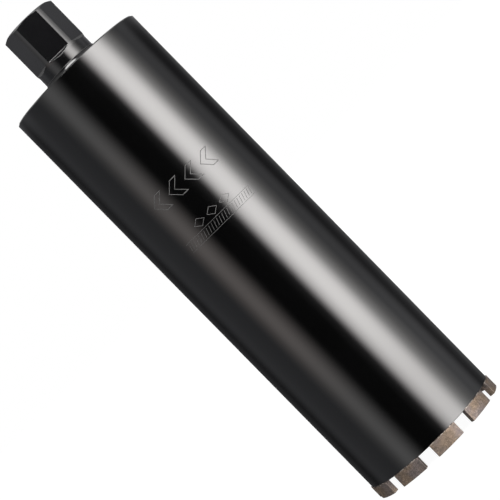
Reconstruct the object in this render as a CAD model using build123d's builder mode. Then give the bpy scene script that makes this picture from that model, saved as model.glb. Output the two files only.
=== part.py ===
from build123d import *
import math
import os

# Wet diamond core bit, standing on its crown with the hub on top.
# Millimetres. The origin is on the tube's axis, in the plane of the cutting faces, and +Z runs
# up the tube towards the hub.

os.makedirs("parts", exist_ok=True)

# Crown: the ring of sintered cutting segments
crown_diameter = 114.0
segment_count = 10
segment_length = 24.0
segment_height = 10.0
segment_outer_relief = 0.75
segment_inner_relief = 0.75
segment_edge_break = 0.3
first_segment_angle = -85.0

# Tube
tube_length = 357.4
tube_wall = 2.5
tube_mouth_bevel = 0.3
tube_top_bevel = 0.8
tube_top_edge_radius = 0.1

# End plate, let into the top of the tube and flush with its end
plate_thickness = 8.0
plate_clearance = 0.05
plate_rim_bevel = 0.3

# Hub, seated in the plate
hub_height = 49.0
hub_bar_diameter = 45.0
hub_end_face_diameter = 39.2
hub_chamfer_angle = 30.0
collar_diameter = 44.0
collar_height = 13.2
collar_taper_height = 2.4
foot_radius = 5.5
foot_step = 0.4
spigot_diameter = 40.0
spigot_clearance = 0.05

# Wrench flats on the hub
flat_count = 6
across_flats = 40.7
flat_foot_height = 15.2
flat_run_out_angle = 51.0
front_flat_angle = -88.9

# Bore through the hub: a plain counterbore, then the thread's bore at its major diameter
counterbore_diameter = 32.4
counterbore_depth = 21.0
bore_mouth_chamfer = 0.4
thread_bore_diameter = 31.9
thread_exit_chamfer = 0.8

# Radii and levels that follow from the sizes above
crown_radius = crown_diameter / 2
tube_radius = crown_radius - segment_outer_relief
tube_inner_radius = tube_radius - tube_wall
segment_inner_radius = tube_inner_radius - segment_inner_relief
tube_bottom = segment_height
tube_top = tube_bottom + tube_length
plate_bottom = tube_top - plate_thickness
plate_radius = tube_inner_radius - plate_clearance
spigot_radius = spigot_diameter / 2
bar_radius = hub_bar_diameter / 2
collar_radius = collar_diameter / 2
hub_top = tube_top + hub_height


# Tube: one length of drawn steel tube, square at the crown and bevelled at the hub end
with BuildPart() as tube:
    with BuildSketch(Plane.XZ) as tube_section:
        with BuildLine():
            Polyline(
                (tube_inner_radius, tube_bottom),
                (tube_radius - tube_mouth_bevel, tube_bottom),
                (tube_radius, tube_bottom + tube_mouth_bevel),
                (tube_radius, tube_top - tube_top_bevel),
                (tube_radius - tube_top_bevel, tube_top),
                (tube_inner_radius, tube_top),
                close=True,
            )
        make_face()
        bevel_corners = tube_section.vertices().group_by(Axis.X)[-1].sort_by(Axis.Y)[-1:]
        bevel_corners += tube_section.vertices().group_by(Axis.Y)[-1].sort_by(Axis.X)[-1:]
        fillet(bevel_corners, tube_top_edge_radius)
    revolve(axis=Axis.Z)
tube.part.label = "tube"
export_step(tube.part, "parts/tube.step")


# End plate: a turned steel disc with a seat for the hub's spigot
with BuildPart() as end_plate:
    with BuildSketch(Plane.XY.offset(plate_bottom)):
        Circle(plate_radius)
        Circle(spigot_radius + spigot_clearance, mode=Mode.SUBTRACT)
    extrude(amount=plate_thickness)
    rim = end_plate.edges().filter_by(GeomType.CIRCLE).group_by(SortBy.RADIUS)[-1]
    chamfer(rim, plate_rim_bevel)
end_plate.part.label = "end_plate"
export_step(end_plate.part, "parts/end_plate.step")


# Cutter for one wrench flat: the flat itself and the sloping run-out at its foot
flat_offset = across_flats / 2
flat_foot = tube_top + flat_foot_height
cutter_reach = bar_radius + bar_radius - flat_offset
run_out_drop = (cutter_reach - flat_offset) * math.tan(math.radians(flat_run_out_angle))
with BuildPart() as flat_cutter:
    with BuildSketch(Plane.XZ):
        with BuildLine():
            Polyline(
                (flat_offset, flat_foot),
                (cutter_reach, flat_foot - run_out_drop),
                (cutter_reach, hub_top),
                (flat_offset, hub_top),
                close=True,
            )
        make_face()
    extrude(amount=bar_radius, both=True)


# Hub: turned from bar, with a spigot through the plate, a flared foot on it, a collar that tapers
# out to the bar, six milled flats and a chamfered end, and bored right through for the spindle
chamfer_drop = (bar_radius - hub_end_face_diameter / 2) * math.tan(math.radians(hub_chamfer_angle))
collar_top = tube_top + collar_height
foot_top = tube_top + foot_radius
foot_outer_radius = collar_radius + foot_step + foot_radius
counterbore_radius = counterbore_diameter / 2
thread_bore_radius = thread_bore_diameter / 2
counterbore_floor = hub_top - counterbore_depth
with BuildPart() as hub:
    with BuildSketch(Plane.XZ):
        with BuildLine():
            foot_start = (foot_outer_radius, tube_top)
            foot_end = (collar_radius + foot_step, foot_top)
            RadiusArc(foot_end, foot_start, -foot_radius)
            Polyline(
                foot_end,
                (collar_radius, foot_top),
                (collar_radius, collar_top),
                (bar_radius, collar_top + collar_taper_height),
                (bar_radius, hub_top - chamfer_drop),
                (hub_end_face_diameter / 2, hub_top),
                (counterbore_radius + bore_mouth_chamfer, hub_top),
                (counterbore_radius, hub_top - bore_mouth_chamfer),
                (counterbore_radius, counterbore_floor),
                (thread_bore_radius, counterbore_floor),
                (thread_bore_radius, plate_bottom + thread_exit_chamfer),
                (thread_bore_radius + thread_exit_chamfer, plate_bottom),
                (spigot_radius, plate_bottom),
                (spigot_radius, tube_top),
                foot_start,
            )
        make_face()
    revolve(axis=Axis.Z)
    with PolarLocations(0, flat_count, start_angle=front_flat_angle):
        add(flat_cutter.part, mode=Mode.SUBTRACT)
hub.part.label = "hub"
export_step(hub.part, "parts/hub.step")


# Segments: sintered blocks, curved to the crown, seated on the tube's end and proud of its wall
# inside and out
segment_arc = math.degrees(segment_length / crown_radius)
for number in range(segment_count):
    middle_angle = first_segment_angle + number * 360 / segment_count
    start_angle = middle_angle - segment_arc / 2
    with BuildPart() as segment:
        with BuildSketch(Plane.XY):
            with BuildLine():
                outer = CenterArc((0, 0), crown_radius, start_angle, segment_arc)
                inner = CenterArc((0, 0), segment_inner_radius, start_angle, segment_arc)
                Line(outer @ 0, inner @ 0)
                Line(outer @ 1, inner @ 1)
            make_face()
        extrude(amount=segment_height)
        chamfer(segment.faces().sort_by(Axis.Z)[0].edges(), segment_edge_break)
    segment.part.label = f"segment_{number + 1:02d}"
    export_step(segment.part, f"parts/{segment.part.label}.step")
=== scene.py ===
import math

import bmesh
import bpy
from mathutils import Matrix, Vector, noise


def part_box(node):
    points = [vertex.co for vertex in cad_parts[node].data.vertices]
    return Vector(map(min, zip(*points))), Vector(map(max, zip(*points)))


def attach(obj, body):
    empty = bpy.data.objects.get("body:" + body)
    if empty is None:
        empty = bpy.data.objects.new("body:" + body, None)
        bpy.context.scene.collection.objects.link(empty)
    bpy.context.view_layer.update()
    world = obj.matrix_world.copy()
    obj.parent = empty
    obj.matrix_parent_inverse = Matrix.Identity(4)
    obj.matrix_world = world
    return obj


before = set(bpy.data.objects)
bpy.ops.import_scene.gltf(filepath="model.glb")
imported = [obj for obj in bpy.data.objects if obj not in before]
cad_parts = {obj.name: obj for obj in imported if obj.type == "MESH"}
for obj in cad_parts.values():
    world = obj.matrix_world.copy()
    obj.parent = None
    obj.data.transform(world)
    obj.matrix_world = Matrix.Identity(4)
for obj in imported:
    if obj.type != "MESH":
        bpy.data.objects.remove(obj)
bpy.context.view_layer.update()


# Tube. A length of drawn steel tube, painted satin black inside and out. Use has worn the paint
# off its lower edge, where it shows between the segments.
tube_low, tube_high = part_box("tube")
tube_radius = tube_high.x
tube_edge_rounding = 0.0003
wear_start, wear_end = tube_low.z + 0.0006, tube_low.z + 0.0002
deep_black = (0.0014, 0.0014, 0.0015, 1)
smudged_black = (0.0026, 0.0026, 0.0028, 1)
worn_steel = (0.55, 0.53, 0.5, 1)


class Wire:
    """One output socket of a material. Arithmetic on it adds Math nodes to the material."""

    def __init__(self, socket):
        self.socket = socket

    def node(self, kind, settings, inputs, output=0):
        """Adds a node: first its settings, then the values or wires of its sockets."""
        tree = self.socket.id_data
        made = tree.nodes.new(kind)
        for name, value in settings.items():
            setattr(made, name, value)
        for name, value in inputs.items():
            if isinstance(value, Wire):
                tree.links.new(value.socket, made.inputs[name])
            else:
                made.inputs[name].default_value = value
        return Wire(made.outputs[output])

    def math(self, operation, *values):
        """Adds a Math node that works on these values and wires."""
        return self.node("ShaderNodeMath", {"operation": operation}, dict(enumerate(values)))

    def __add__(self, other):
        return self.math("ADD", self, other)

    def __sub__(self, other):
        return self.math("SUBTRACT", self, other)

    def __rsub__(self, other):
        return self.math("SUBTRACT", other, self)

    def __mul__(self, other):
        return self.math("MULTIPLY", self, other)

    __radd__ = __add__
    __rmul__ = __mul__

    def rise(self, low, high):
        """0 up to low, 1 from high, and smooth between them. Low may be above high."""
        inputs = {"Value": self, "From Min": low, "From Max": high}
        return self.node("ShaderNodeMapRange", {"interpolation_type": "SMOOTHSTEP"}, inputs)

    def between(self, first, second):
        """The colour that goes from first, where this is 0, to second, where it is 1. Sockets 6
        and 7 of a Mix node are its colours, and its output 2 is the colour that it makes."""
        return self.node("ShaderNodeMix", {"data_type": "RGBA"}, {0: self, 6: first, 7: second}, 2)

    def vector(self, operation, other=(0, 0, 0), output="Vector"):
        """Adds a Vector Math node that works on this vector and the other."""
        inputs = {0: self, 1: other}
        return self.node("ShaderNodeVectorMath", {"operation": operation}, inputs, output)

    def axis(self, letter):
        """The X, Y or Z of this vector."""
        return self.node("ShaderNodeSeparateXYZ", {}, {"Vector": self}, letter)

    def noise(self, size, detail=2.0):
        """Cloudy noise round 0.5 whose blotches are size metres across."""
        inputs = {"Vector": self, "Scale": 1 / size, "Detail": detail}
        return self.node("ShaderNodeTexNoise", {}, inputs)


def new_material(name):
    """A material, and the wire of the point being shaded, in metres."""
    material = bpy.data.materials.new(name)
    material.use_nodes = True
    tree = material.node_tree
    tree.nodes.clear()
    tree.nodes.new("ShaderNodeOutputMaterial")
    return material, Wire(tree.nodes.new("ShaderNodeTexCoord").outputs["Object"])


def finish(material, shader):
    """Wires a shader to the material's output."""
    output = material.node_tree.nodes["Material Output"]
    material.node_tree.links.new(shader.socket, output.inputs["Surface"])


def facing(place):
    """The direction that the surface itself faces."""
    return place.node("ShaderNodeNewGeometry", {}, {}, "Normal")


def rounded_edges(place, radius):
    """The direction that the surface would face if its edges were rounded."""
    return place.node("ShaderNodeBevel", {"samples": 6}, {"Radius": radius})


def edge_mask(rounded):
    """1 on the edges that the rounding turns, and 0 on the surfaces between them."""
    return (1 - rounded.vector("DOT_PRODUCT", facing(rounded), "Value")).rise(0.01, 0.09)


def clothe(nodes, material):
    """Gives CAD nodes one material."""
    for node in nodes:
        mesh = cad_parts[node].data
        mesh.materials.clear()
        mesh.materials.append(material)


tube_paint, place = new_material("tube_paint")
orange_peel = place.noise(0.0011, detail=3.0)
smudges = place.noise(0.045, detail=3.0)
rounded = rounded_edges(place, tube_edge_rounding)
crown_edge = place.axis("Z").rise(wear_start, wear_end)
chipped = edge_mask(rounded) * crown_edge * place.noise(0.004, detail=4.0).rise(0.42, 0.56)
finish(tube_paint, place.node("ShaderNodeBsdfPrincipled", {}, {
    "Base Color": chipped.between(smudges.between(deep_black, smudged_black), worn_steel),
    "Metallic": chipped,
    "Roughness": 0.09 + 0.04 * smudges + 0.2 * chipped,
    "Specular IOR Level": 0.9,
    "Normal": place.node("ShaderNodeBump", {}, {
        "Height": orange_peel, "Distance": 0.000004, "Strength": 0.4,
        "Normal": crown_edge.between(facing(place), rounded),
    }),
}))
clothe(["tube"], tube_paint)


# Etched marks. Plain marks that a laser has cut through the paint, down to the steel: chevrons that
# give the bit's direction of turning, three lozenges below them and a hatched band.
mark_proud = 0.00003
mark_depth = 0.00015
mark_step = 0.0012
sharpest_mitre = 0.35
chevron_level, chevron_pitch = 0.2574, 0.0151
chevron_height, chevron_arm, chevron_shift, chevron_line = 0.0132, 0.0052, 0.0058, 0.0005
lozenge_level, lozenge_pitch = 0.2296, 0.012
lozenge_width, lozenge_height, lozenge_line = 0.009, 0.0066, 0.0004
band_level, band_width, band_height = 0.221, 0.062, 0.0062
border_gap, border_line = 0.0004, 0.0003
stroke_pitch, stroke_gap, stroke_line = 0.00248, 0.0006, 0.00035
stroke_slant = 0.35 * stroke_pitch
etched_dark, etched_bright = (0.055, 0.055, 0.056, 1), (0.13, 0.128, 0.125, 1)


def add_object(name, points, faces, material):
    """An object of the scene, with its mesh and its material."""
    mesh = bpy.data.meshes.new(name)
    mesh.from_pydata(points, [], faces)
    mesh.materials.append(material)
    made = bpy.data.objects.new(name, mesh)
    bpy.context.scene.collection.objects.link(made)
    return made


def add_piece(name, points, faces, material, crease=35):
    """One piece of the bit, from its mesh to its place on the bit's only body."""
    piece = add_object(name, points, faces, material)
    shape = bmesh.new()
    shape.from_mesh(piece.data)
    bmesh.ops.remove_doubles(shape, verts=shape.verts, dist=1e-7)
    bmesh.ops.dissolve_degenerate(shape, edges=shape.edges, dist=1e-7)
    bmesh.ops.recalc_face_normals(shape, faces=shape.faces)
    shape.to_mesh(piece.data)
    shape.free()
    piece.data.shade_smooth()
    piece.data.set_sharp_from_angle(angle=math.radians(crease))
    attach(piece, "root")


def loft(rings, points, faces, closed=False):
    """Adds a closed tube through rings of points, with ends or joined end to end."""
    base, size = len(points), len(rings[0])
    points += [point for ring in rings for point in ring]
    for n in range(len(rings) if closed else len(rings) - 1):
        a, b = base + n * size, base + (n + 1) % len(rings) * size
        faces += [(a + k, a + (k + 1) % size, b + (k + 1) % size, b + k) for k in range(size)]
    if not closed:
        last = base + (len(rings) - 1) * size
        faces += [tuple(range(base + size - 1, base - 1, -1)), tuple(range(last, last + size))]


def spun(radius, turn, level):
    """The point at a radius, a turn round the bit's axis from +X, and a level."""
    return (radius * math.cos(turn), radius * math.sin(turn), level)


def etch(path, width, closed, points, faces):
    """Adds one etched line. path is in metres: round the tube towards +X, and height."""
    path = [Vector(point) for point in path]
    count = len(path)
    stops = []
    for n in range(count if closed else count - 1):
        here, there = path[n], path[(n + 1) % count]
        pieces = max(1, math.ceil((there - here).length / mark_step))
        stops += [here.lerp(there, k / pieces) for k in range(pieces)]
    if not closed:
        stops.append(path[-1])
    rings = []
    for n, stop in enumerate(stops):
        into = stop - stops[n - 1] if closed or n > 0 else stops[1] - stop
        out = stops[(n + 1) % len(stops)] - stop if closed or n < len(stops) - 1 else into
        into, out = into.normalized(), out.normalized()
        side = Vector((-into.y - out.y, into.x + out.x)).normalized()
        side *= width / 2 / max(sharpest_mitre, side.dot(Vector((-into.y, into.x))))
        ring = []
        for radius, edge in (
            (tube_radius + mark_proud, side), (tube_radius + mark_proud, -side),
            (tube_radius - mark_depth, -side), (tube_radius - mark_depth, side),
        ):
            spot = stop + edge
            ring.append(spun(radius, spot.x / tube_radius - math.pi / 2, spot.y))
        rings.append(ring)
    loft(rings, points, faces, closed)


def row(count, pitch):
    """The middles of marks that stand side by side on the front of the tube."""
    return [(n - (count - 1) / 2) * pitch for n in range(count)]


etched_steel, place = new_material("etched_steel")
finish(etched_steel, place.node("ShaderNodeBsdfPrincipled", {}, {
    "Base Color": place.noise(0.0006, detail=3.0).between(etched_dark, etched_bright),
    "Metallic": 0.3,
    "Roughness": 0.55,
}))
points, faces = [], []
for middle in row(4, chevron_pitch):
    left, half_height = middle - chevron_shift, chevron_height / 2
    tip, top, bottom = left + half_height, chevron_level + half_height, chevron_level - half_height
    etch([
        (left, chevron_level), (tip, top), (tip + chevron_arm, top),
        (left + chevron_arm, chevron_level), (tip + chevron_arm, bottom), (tip, bottom),
    ], chevron_line, True, points, faces)
for middle in row(3, lozenge_pitch):
    etch([
        (middle - lozenge_width / 2, lozenge_level), (middle, lozenge_level + lozenge_height / 2),
        (middle + lozenge_width / 2, lozenge_level), (middle, lozenge_level - lozenge_height / 2),
    ], lozenge_line, True, points, faces)
for over in (-1, 1):
    level = band_level + over * (band_height / 2 + border_gap)
    etch([(-band_width / 2, level), (band_width / 2, level)], border_line, False, points, faces)
stroke_low = band_level - band_height / 2 + stroke_gap
stroke_high = band_level + band_height / 2 - stroke_gap
for middle in row(25, stroke_pitch):
    ends = [(middle - stroke_slant, stroke_low), (middle + stroke_slant, stroke_high)]
    etch(ends, stroke_line, False, points, faces)
add_piece("etched_marks", points, faces, etched_steel)


# End plate. A turned steel disc let into the end of the tube, welded and painted with it. The
# lathe's rings still show very faintly through the paint.
plate_edge_rounding = 0.0003
plate_rings_per_metre = 2600
plate_black, plate_grey = (0.013, 0.013, 0.014, 1), (0.02, 0.02, 0.0215, 1)


def axis_distance(place):
    """How far the point being shaded is from the bit's axis."""
    return place.vector("MULTIPLY", (1, 1, 0)).vector("LENGTH", output="Value")


def lathe_rings(from_axis, rings_per_metre, detail):
    """The rings that a lathe's tool leaves, from 0 to 1 round 0.5."""
    inputs = {"W": from_axis, "Scale": rings_per_metre, "Detail": detail}
    return from_axis.node("ShaderNodeTexNoise", {"noise_dimensions": "1D"}, inputs)


plate_paint, place = new_material("plate_paint")
finish(plate_paint, place.node("ShaderNodeBsdfPrincipled", {}, {
    "Base Color": place.noise(0.02, detail=3.0).between(plate_black, plate_grey),
    "Roughness": 0.38 + 0.12 * place.noise(0.015, detail=3.0),
    "Specular IOR Level": 0.4,
    "Normal": place.node("ShaderNodeBump", {}, {
        "Height": lathe_rings(axis_distance(place), plate_rings_per_metre, 3.0),
        "Distance": 0.000008, "Strength": 0.4,
        "Normal": rounded_edges(place, plate_edge_rounding),
    }),
}))
clothe(["end_plate"], plate_paint)


# Hub. Turned from steel bar and milled with six flats, then painted, the counterbore too. Its end
# and the mouth of the bore were turned after painting, so they are bare steel.
hub_low, hub_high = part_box("hub")
bore_radius = 0.0162
mouth_low = hub_high.z - 0.0021
mouth_fade = 0.0003
mouth_inner, mouth_outer = bore_radius + 0.00035, bore_radius + 0.0005
faced_low, faced_high = hub_high.z - 0.00012, hub_high.z - 0.00004
flat_feet_low, flat_feet_high = hub_low.z + 0.0242, hub_low.z + 0.0247
foot_inner, foot_outer = 0.0235, 0.0272
hub_edge_rounding, flat_feet_rounding = 0.00018, 0.0004
hub_rings_per_metre = 9000
hub_black, hub_grey = (0.0075, 0.0075, 0.0085, 1), (0.0105, 0.0105, 0.012, 1)
rubbed_paint = (0.25, 0.245, 0.24, 1)
turned_dark, turned_bright = (0.5, 0.5, 0.495, 1), (0.86, 0.86, 0.85, 1)
hub_finish, place = new_material("hub_finish")
z = place.axis("Z")
from_axis = axis_distance(place)
rings = lathe_rings(from_axis, hub_rings_per_metre, 4.0)
rounded = rounded_edges(place, hub_edge_rounding)
filled = rounded_edges(place, flat_feet_rounding)
flat_feet = z.rise(flat_feet_high, flat_feet_low)
faced = z.rise(faced_low, faced_high)
mouth = from_axis.rise(mouth_outer, mouth_inner) * z.rise(mouth_low, mouth_low + mouth_fade)
bare = faced.math("MAXIMUM", faced, mouth)
foot = from_axis.rise(foot_inner, foot_outer)
edges = flat_feet * edge_mask(filled) + (1 - flat_feet) * edge_mask(rounded)
patches = place.noise(0.003, detail=4.0).rise(0.45, 0.62)
worn = edges * (0.35 * patches + 0.3 * flat_feet) * (1 - foot)
paint = place.noise(0.01, detail=3.0).between(hub_black, hub_grey)
finish(hub_finish, place.node("ShaderNodeBsdfPrincipled", {}, {
    "Base Color": bare.between(
        worn.between(paint, rubbed_paint), rings.between(turned_dark, turned_bright)
    ),
    "Metallic": bare,
    "Roughness": 0.11 + 0.04 * place.noise(0.012, detail=3.0) + 0.2 * bare + 0.22 * foot,
    "Specular IOR Level": 0.66,
    "Normal": place.node("ShaderNodeBump", {}, {
        "Height": bare * rings + (1 - bare) * 0.06 * place.noise(0.0012, detail=3.0),
        "Distance": 0.00004, "Strength": 0.5,
        "Normal": foot.between(flat_feet.between(rounded, filled), facing(place)),
    }),
}))
clothe(["hub"], hub_finish)


# Spindle thread. A coarse right-hand thread cut in the hub's bore, 1 1/4 inch across at 7 turns
# to the inch, with a lead-in cone at each end. It is the hub's own steel, left bare.
thread_pitch = 0.0254 / 7
thread_root_radius = 0.01582
thread_crest_radius = 0.0139
thread_sleeve_radius = 0.01605
thread_low, thread_high = hub_low.z + 0.0008, hub_high.z - 0.021
crest_share, flank_share = 0.22, 0.3
lead_in_radius = thread_sleeve_radius - 0.0001
upper_lead_in_slope, lower_lead_in_slope = 1.2, 1.6
thread_steps = 112
rows_per_turn = 14
thread_dark, thread_bright = (0.42, 0.42, 0.41, 1), (0.68, 0.68, 0.67, 1)


def thread_radius(phase):
    """The thread's radius at a phase of 0 to 1 along one pitch: root, flank, crest and flank."""
    distance = abs(phase - 0.5) * 2
    rise = (distance - crest_share) / (2 * flank_share)
    return thread_crest_radius + (thread_root_radius - thread_crest_radius) * min(1, max(0, rise))


thread_steel, place = new_material("machined_steel")
chatter = place.noise(0.0008, detail=3.0)
finish(thread_steel, place.node("ShaderNodeBsdfPrincipled", {}, {
    "Base Color": chatter.between(thread_dark, thread_bright),
    "Metallic": 1.0,
    "Roughness": 0.24 + 0.12 * place.noise(0.004, detail=3.0),
    "Normal": place.node("ShaderNodeBump", {}, {
        "Height": chatter, "Distance": 0.00002, "Strength": 0.4,
    }),
}))
rows = math.ceil((thread_high - thread_low) / thread_pitch + 2) * rows_per_turn
sections = []
for step in range(thread_steps):
    turn = 2 * math.pi * step / thread_steps
    section = [(thread_sleeve_radius, thread_high), (thread_sleeve_radius, thread_low)]
    for number in range(rows + 1):
        level = thread_low + (number / rows_per_turn - 1 + step / thread_steps) * thread_pitch
        held = min(thread_high, max(thread_low, level))
        section.append((max(
            thread_radius(number / rows_per_turn % 1),
            lead_in_radius - (thread_high - held) * upper_lead_in_slope,
            lead_in_radius - (held - thread_low) * lower_lead_in_slope,
        ), held))
    sections.append([spun(radius, turn, level) for radius, level in section])
points, faces = [], []
loft(sections, points, faces, closed=True)
add_piece("spindle_thread", points, faces, thread_steel, crease=25)


# Segments. Blocks pressed and sintered from metal powder with diamond grit in it, then ground to
# the crown's diameter. Grit stands out of their faces and their edges are rubbed bright.
segment_nodes = sorted(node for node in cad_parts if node.startswith("segment_"))
segment_edge_rounding = 0.00035
grit_per_metre = 1400
binder_dark, binder_bright = (0.07, 0.056, 0.05, 1), (0.275, 0.225, 0.198, 1)
dark_mottle, bright_mottle = (0.8, 0.81, 0.81), (1.16, 1.15, 1.13)
cool_tone, warm_tone = (0.94, 0.95, 1.02), (1.13, 1.03, 0.86)
rubbed_metal, grit_colour = (0.45, 0.39, 0.34, 1), (0.42, 0.38, 0.3, 1)
segment_finish, place = new_material("sintered_segment")
grain = place.noise(0.0006, detail=4.0)
powder = place.noise(0.00022)
mottle = place.noise(0.0024, detail=3.0).rise(0.34, 0.66)
tone = place.noise(0.014, detail=1.0).rise(0.38, 0.62)
grit = place.node("ShaderNodeTexVoronoi", {}, {"Vector": place, "Scale": grit_per_metre})
grit = grit.rise(0.28, 0.16) * place.noise(0.003, detail=1.0).rise(0.4, 0.6)
rounded = rounded_edges(place, segment_edge_rounding)
rubbed = edge_mask(rounded) * place.noise(0.002, detail=3.0).rise(0.35, 0.6)
metal = (0.75 * grain + 0.25 * powder).rise(0.28, 0.72).between(binder_dark, binder_bright)
metal = mottle.between(
    metal.vector("MULTIPLY", dark_mottle), metal.vector("MULTIPLY", bright_mottle)
)
metal = tone.between(metal.vector("MULTIPLY", cool_tone), metal.vector("MULTIPLY", warm_tone))
metal = (0.7 * rubbed).between(metal, rubbed_metal)
finish(segment_finish, place.node("ShaderNodeBsdfPrincipled", {}, {
    "Base Color": (0.5 * grit).between(metal, grit_colour),
    "Metallic": 0.6,
    "Roughness": 0.5 + 0.14 * powder - 0.1 * rubbed,
    "Normal": place.node("ShaderNodeBump", {}, {
        "Height": 0.5 * grain + 0.3 * powder + 0.4 * grit, "Distance": 0.00012, "Strength": 0.6,
        "Normal": rounded,
    }),
}))
clothe(segment_nodes, segment_finish)


# Segment welds. A fine laser-welded bead joins each segment to the tube's end, outside and
# inside. It is bare, rippled steel, coloured mostly dark as painted shade along the joint, with
# straw-coloured patches that are partly heat tint and partly painted glints.
tube_wall = 0.0025
crown_radius, segment_half_length = 0.057, 0.012
weld_radius, weld_root = 0.00042, 0.0001
weld_end_gap, weld_end_share, weld_taper = 0.0004, 0.55, 8
weld_ripple, weld_ripple_pitch = 0.00009, 0.0011
weld_lump, weld_lumps_per_metre, weld_lump_shift = 0.00012, 400, 7.3
weld_first_lean, weld_last_lean = -8, 98
weld_steps, weld_points = 80, 7
# The dark weld colour is painted shade along the joint; the pale straw patches are heat tint and
# painted glints.
dark_weld_painted_shade, straw_tint_and_painted_glint = (0.06, 0.045, 0.036, 1), (0.42, 0.37, 0.33, 1)
weld_metal, place = new_material("weld_metal")
heat_tint_and_glint_noise = place.noise(0.0022)
finish(weld_metal, place.node("ShaderNodeBsdfPrincipled", {}, {
    "Base Color": heat_tint_and_glint_noise.rise(0.45, 0.68).between(dark_weld_painted_shade, straw_tint_and_painted_glint),
    "Metallic": 1.0,
    "Roughness": 0.44 + 0.16 * heat_tint_and_glint_noise,
}))
points, faces = [], []
half_arc = segment_half_length / crown_radius
segment_seat = tube_low.z
for number, node in enumerate(segment_nodes):
    low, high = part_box(node)
    middle = math.atan2((low.y + high.y) / 2, (low.x + high.x) / 2)
    for outward, wall in ((1, tube_radius), (-1, tube_radius - tube_wall)):
        sections = []
        for step in range(weld_steps + 1):
            along = 2 * step / weld_steps - 1
            turn = middle + along * (half_arc - weld_end_gap / wall)
            run = along * segment_half_length
            ripple = abs(math.sin(math.pi * run / weld_ripple_pitch))
            lump = noise.noise((run * weld_lumps_per_metre, number * weld_lump_shift, outward))
            size = weld_radius + weld_ripple * ripple + weld_lump * lump
            size *= min(1, weld_end_share + weld_taper * (1 - abs(along)))
            section = [(wall - outward * weld_root, segment_seat - weld_root)]
            for k in range(weld_points):
                lean = math.radians(
                    weld_first_lean + (weld_last_lean - weld_first_lean) * k / (weld_points - 1)
                )
                section.append((
                    wall + outward * size * math.cos(lean), segment_seat + size * math.sin(lean)
                ))
            sections.append([spun(radius, turn, level) for radius, level in section])
        loft(sections, points, faces)
add_piece("segment_welds", points, faces, weld_metal, crease=60)


# Floor. A plain pale floor that runs out into the background without an edge. It glows a little,
# so the bit's shadow on it stays faint, and the bit doesn't reflect it.
floor_reach = 30.0
floor_finish, place = new_material("floor")
shaded = place.node("ShaderNodeBsdfDiffuse", {}, {"Color": (0.92, 0.92, 0.92, 1)})
glow = place.node("ShaderNodeEmission", {}, {"Color": (1, 1, 1, 1), "Strength": 1.2})
finish(floor_finish, place.node("ShaderNodeMixShader", {}, {0: 0.8, 1: shaded, 2: glow}))
corners = [
    (floor_reach * x, floor_reach * y, 0) for x, y in ((-1, -1), (1, -1), (1, 1), (-1, 1))
]
floor = add_object("floor", corners, [(0, 1, 2, 3)], floor_finish)
floor.visible_glossy = False


# Light tent. Curved sheets of diffusing cloth stand round the bit with lamps behind them. The
# lamps' pools of light fade into each other, and the bit reflects them as long soft stripes. The
# tube reflects the sheets up to half a metre, and the hub reflects what is above that.
tent_radius = 1.3
tent_low, tent_high, tent_hem = -2.4, 0.7, 0.08
tent_column = 3
no_light = (0, 0, 0, 1)
dark_wall = (0.006, 0.006, 0.006, 1)


def glowing(place, material, light):
    """Makes a material that gives off the light and reflects none."""
    finish(material, place.node("ShaderNodeBsdfPrincipled", {}, {
        "Base Color": no_light,
        "Specular IOR Level": 0.0,
        "Emission Color": light,
        "Emission Strength": 1.0,
    }))


def hang(name, points, faces, material):
    """Adds a source of light, which the bit reflects but which isn't seen itself."""
    source = add_object(name, points, faces, material)
    source.visible_camera = source.visible_diffuse = source.visible_shadow = False


def tent_wall(name, start, end, light_of):
    """A curved sheet between two azimuths, in degrees from the camera's side towards +X. Its light
    is what light_of makes of the azimuth, in degrees, and the height."""
    columns = math.ceil((end - start) / tent_column)
    points, faces = [], []
    for n in range(columns + 1):
        turn = math.radians(start + (end - start) * n / columns)
        ground = (math.sin(turn) * tent_radius, -math.cos(turn) * tent_radius)
        points += [(*ground, tent_low), (*ground, tent_high)]
    for n in range(0, 2 * columns, 2):
        faces.append((n, n + 2, n + 3, n + 1))
    material, place = new_material(name)
    azimuth = math.degrees(1) * place.math("ARCTAN2", place.axis("X"), 0 - place.axis("Y"))
    glowing(place, material, light_of(azimuth, place.axis("Z")))
    hang(name, points, faces, material)


def add_pools(light, pools):
    """Adds to a light several pools, each of them a mask and the pool's own light."""
    for mask, pool in pools:
        light = light.vector("ADD", mask.between(no_light, pool))
    return light


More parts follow.
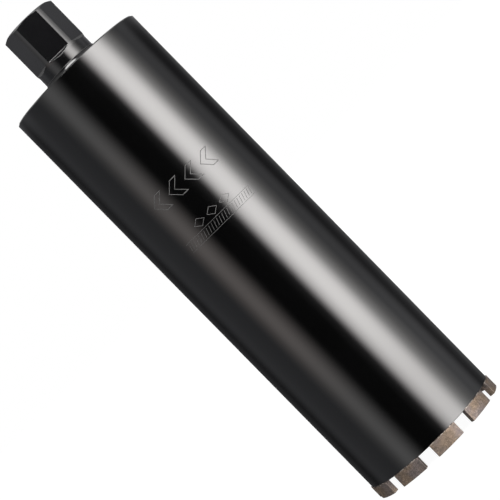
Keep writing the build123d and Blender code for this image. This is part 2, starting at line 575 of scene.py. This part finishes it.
def right_light(azimuth, height):
    """A bright core with its wide spill towards the front, and dim pools farther round."""
    hem = height.rise(tent_high, tent_high - tent_hem)
    at_hub = height.rise(0.47, 0.53)
    at_crown = height.rise(0.1, -0.08)
    at_middle = height.rise(-0.15, 0.3) * height.rise(0.53, 0.49)
    lamps = hem * (1 - 0.2 * height.rise(0.06, -0.14)) * (1 - 0.6 * height.rise(-0.4, -1.6))
    # At the hub's level both edges of the core and its spill lie nearer to the front
    front_edge, back_edge = azimuth + 2 * at_hub, azimuth + 5 * at_hub
    core = front_edge.rise(13.5, 29.5) * back_edge.rise(70.5, 48.5) * lamps
    spill = front_edge.rise(17, 41) * (back_edge - 2.5 * at_crown).rise(94, 41) * lamps
    front = azimuth.rise(2, 16) * azimuth.rise(60, 30) * hem
    side = azimuth.rise(76, 90) * (azimuth + 4 * at_middle).rise(126, 98)
    side = side * (0.8 + 0.2 * at_crown) * hem
    far = azimuth.rise(134, 150) * hem
    hub_side = azimuth.rise(90, 112) * height.rise(0.46, 0.52) * hem
    dip = at_middle * azimuth.rise(100, 118) * azimuth.rise(150, 126)
    rear = azimuth.rise(90, 115) * (1 - 0.4 * dip) * hem
    return add_pools(rear.between(dark_wall, (0.09, 0.09, 0.094, 1)), (
        (core, (3.95, 3.8, 3.74, 1)),
        (spill, (4.7, 4.64, 4.58, 1)),
        (front, (0.07, 0.07, 0.07, 1)),
        (side, (0.45, 0.455, 0.47, 1)),
        (far, (0.035, 0.035, 0.035, 1)),
        (hub_side, (0.22, 0.22, 0.23, 1)),
    ))


def left_light(azimuth, height):
    """A softer fill towards the front, warm at the middle of the tube, and dim pools beyond."""
    hem = height.rise(tent_high, tent_high - tent_hem)
    at_hub = height.rise(0.47, 0.53)
    at_middle = height.rise(-0.12, 0.08) * height.rise(0.46, 0.2)
    # At the hub's level the fill is wider, by 4 degrees in front and 3 behind
    front_edge, back_edge = azimuth - 4 * at_hub, azimuth + 3 * at_hub
    fill = back_edge.rise(-76, -48.5) * front_edge.rise(-19.5, -48.5)
    fill = fill * hem * (1 - 0.6 * height.rise(-0.4, -1.6))
    side = (azimuth + 3 * height.rise(-0.15, 0.3)).rise(-133, -106)
    side = side * back_edge.rise(-58.5, -74.5) * hem
    hub_side = azimuth.rise(-92, -110) * height.rise(0.46, 0.52) * hem
    rear = azimuth.rise(-109, -144) * hem
    return add_pools(rear.between(dark_wall, (0.055, 0.055, 0.058, 1)), (
        (fill, at_middle.between((0.79, 0.785, 0.785, 1), (1.05, 0.955, 0.92, 1))),
        (side, (0.195, 0.198, 0.21, 1)),
        (hub_side, (0.15, 0.15, 0.157, 1)),
    ))


def back_light(azimuth, height):
    """A lamp behind the bit, which draws a thin bright line along both sides of the tube."""
    behind = azimuth.math("ABSOLUTE", azimuth)
    pool = behind.rise(164, 178) * height.rise(tent_high, tent_high - tent_hem)
    return pool.between(no_light, (3.0, 3.0, 3.0, 1))


tent_wall("tent_right", 2, 164, right_light)
tent_wall("tent_left", -164, -18, left_light)
tent_wall("tent_back", 164, 196, back_light)


# Round softbox, hung high in front of the bit and a little to its right. Its disc of light, soft at
# the rim, gives the hub's foot and edges their bright lines.
round_distance = 1.5
round_azimuth, round_elevation = math.radians(6.5), math.radians(43.5)
round_radius, round_soft_from = 0.64, 0.94
round_sides = 48
round_glow = (11.5, 11.45, 11.4, 1)
level_reach = math.cos(round_elevation)
toward = Vector((
    math.sin(round_azimuth) * level_reach,
    -math.cos(round_azimuth) * level_reach,
    math.sin(round_elevation),
))
round_middle = Vector((0, 0, hub_low.z)) + toward * round_distance
across = Vector((0, 0, 1)).cross(toward).normalized()
along = toward.cross(across)
round_softbox, place = new_material("round_softbox")
disc = place.vector("DISTANCE", tuple(round_middle), "Value")
disc = disc.rise(round_radius, round_radius * round_soft_from)
glowing(place, round_softbox, disc.between(no_light, round_glow))
rim = []
for n in range(round_sides):
    turn = 2 * math.pi * n / round_sides
    spoke = across * math.cos(turn) + along * math.sin(turn)
    rim.append(tuple(round_middle + round_radius * spoke))
hang("round_softbox", rim, [tuple(range(round_sides))], round_softbox)


# Studio. White to the eye. In the bit's paint it is nearly dark in front, paler behind, and pale
# overhead.
seen_glow, matt_glow = 1.0, 0.5
front_glow, behind_glow = 0.006, 0.056
left_glow, right_glow = 0.37, 0.7
high_behind_glow = 1.3
ceiling_glow, overhead_glow = 0.6, 0.1
world = bpy.data.worlds.new("studio")
bpy.context.scene.world = world
world.use_nodes = True
studio = world.node_tree
studio.nodes.clear()
way = Wire(studio.nodes.new("ShaderNodeTexCoord").outputs["Generated"])
rightward, backward, upward = way.axis("X"), way.axis("Y"), way.axis("Z")
seen = way.node("ShaderNodeLightPath", {}, {}, "Is Camera Ray")
mirrored = way.node("ShaderNodeLightPath", {}, {}, "Is Glossy Ray")


def glow_of(strength):
    """An even white light."""
    return way.node("ShaderNodeBackground", {}, {"Color": (1, 1, 1, 1), "Strength": strength})


def shade(factor, first, second):
    """The light that goes from first, where the factor is 0, to second, where it is 1."""
    return way.node("ShaderNodeMixShader", {}, {0: factor, 1: first, 2: second})


# Level with the bit the room is nearly dark in front. Above the tent it is paler, most of all on
# the right, and brightest high up behind. The ceiling in front has a dark patch right overhead.
room = shade(backward.rise(0.09, 0.87), glow_of(front_glow), glow_of(behind_glow))
aside = rightward.rise(-0.3, 0.3) * backward.rise(0.6, 0.2)
above_walls = upward.rise(0.16, 0.3) * backward.rise(-0.8, -0.55)
room = shade(above_walls, room, shade(aside, glow_of(left_glow), glow_of(right_glow)))
high_behind = upward.rise(0.6, 0.8) * backward.rise(0.3, 0.5)
room = shade(high_behind, room, glow_of(high_behind_glow))
ceiling = shade(upward.rise(0.97, 0.993), glow_of(ceiling_glow), glow_of(overhead_glow))
room = shade(upward.rise(0.35, 0.9) * backward.rise(0.09, 0.03), room, ceiling)
light = shade(seen, shade(mirrored, glow_of(matt_glow), room), glow_of(seen_glow))
world_output = studio.nodes.new("ShaderNodeOutputWorld")
studio.links.new(light.socket, world_output.inputs["Surface"])


# Camera. A long lens level with the middle of the bit, rolled so that the bit lies across the
# picture from its upper left to its lower right.
picture_width = 500
focal_length_px = 2114.4
sensor_width = 36.0
camera_place = Vector((-0.00046, -1.4976, 0.2216))
look_down = math.radians(1.1817)
roll = math.radians(44.451)
camera_data = bpy.data.cameras.new("camera")
camera_data.sensor_width = sensor_width
camera_data.lens = sensor_width * focal_length_px / picture_width
camera = bpy.data.objects.new("camera", camera_data)
bpy.context.scene.collection.objects.link(camera)
forward = Vector((0, math.cos(look_down), -math.sin(look_down)))
level_right = Vector((1, 0, 0))
up = math.cos(roll) * level_right.cross(forward) + math.sin(roll) * level_right
right = forward.cross(up)
turned = Matrix((right, up, -forward)).transposed().to_4x4()
camera.matrix_world = Matrix.Translation(camera_place) @ turned
bpy.context.scene.camera = camera
bpy.context.scene.view_settings.view_transform = "Standard"
